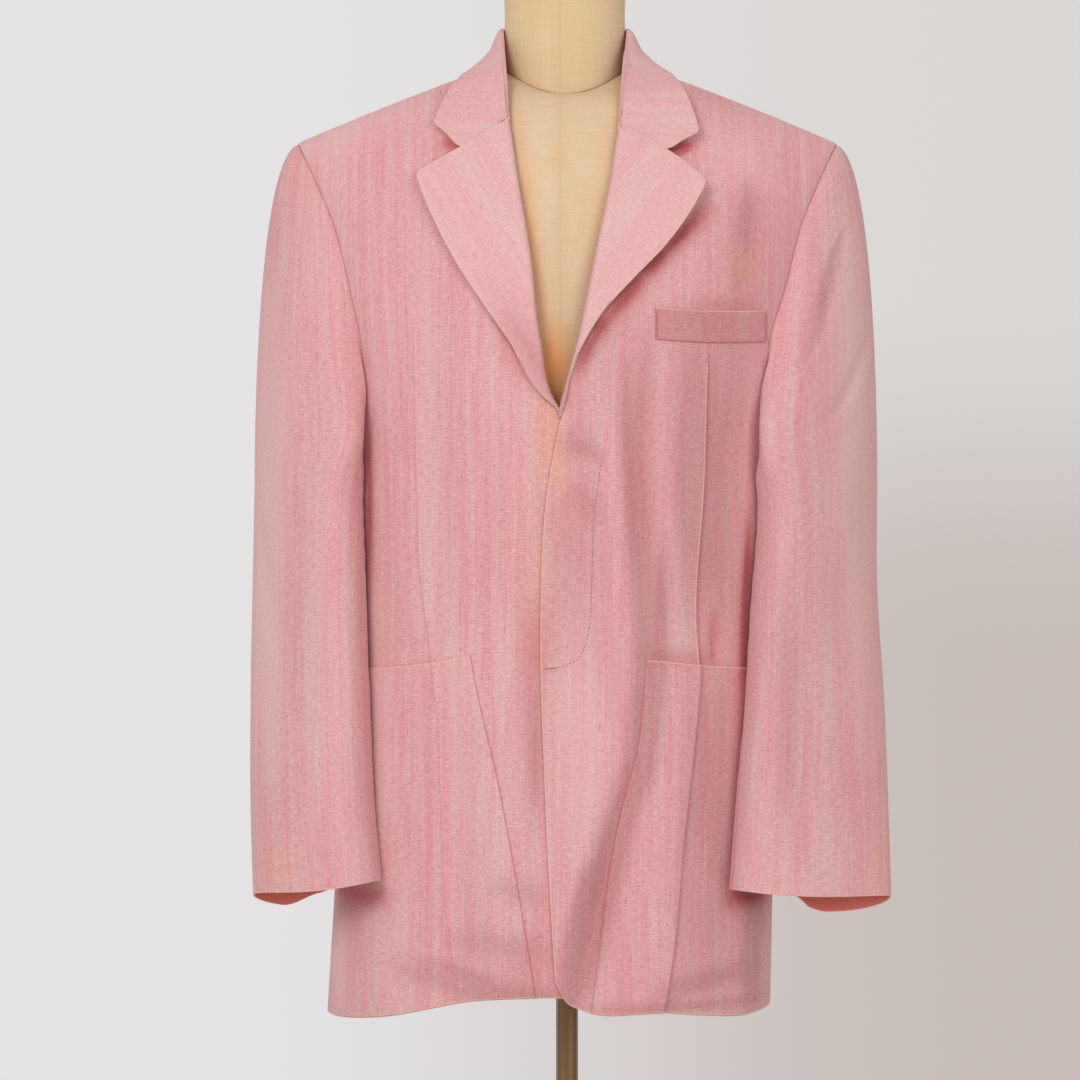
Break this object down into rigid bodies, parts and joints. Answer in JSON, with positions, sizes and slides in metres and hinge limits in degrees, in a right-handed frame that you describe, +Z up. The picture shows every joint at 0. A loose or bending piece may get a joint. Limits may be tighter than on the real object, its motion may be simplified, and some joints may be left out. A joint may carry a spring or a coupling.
{
  "type": "oversized blazer on a limbless dress form with a stand",
  "caption": "Pink slubby oversized blazer with peaked notch lapels and a hidden button front, on a limbless linen dress form with a fluted brass pole and round base.",
  "frame": {"origin": "on the floor, under the pole and the middle of the base", "axes": "+Z up; the blazer faces -Y, so the wearer's left is +X"},
  "size_m": [0.546, 0.38, 1.491],
  "materials": {
    "suiting": "matte slubby plain weave, pink with lighter streaks along the warp",
    "form_linen": "matte cream linen cover, seamed",
    "brass": "dark brown brass, satin, fluted pole"
  },
  "bodies": {
    "root": {"front_right": "suiting", "front_left": "suiting", "back_right": "suiting", "back_left": "suiting", "hip_pocket_right": "suiting", "hip_pocket_left": "suiting", "upper_sleeve_right": "suiting", "upper_sleeve_left": "suiting", "under_sleeve_right": "suiting", "under_sleeve_left": "suiting", "lapel_right": "suiting", "lapel_left": "suiting", "breast_welt": "suiting", "collar": "suiting", "form_torso": "form_linen", "form_neck": "form_linen", "pole": "brass", "form_flange": "brass", "base": "brass"}
  },
  "joints": []
}
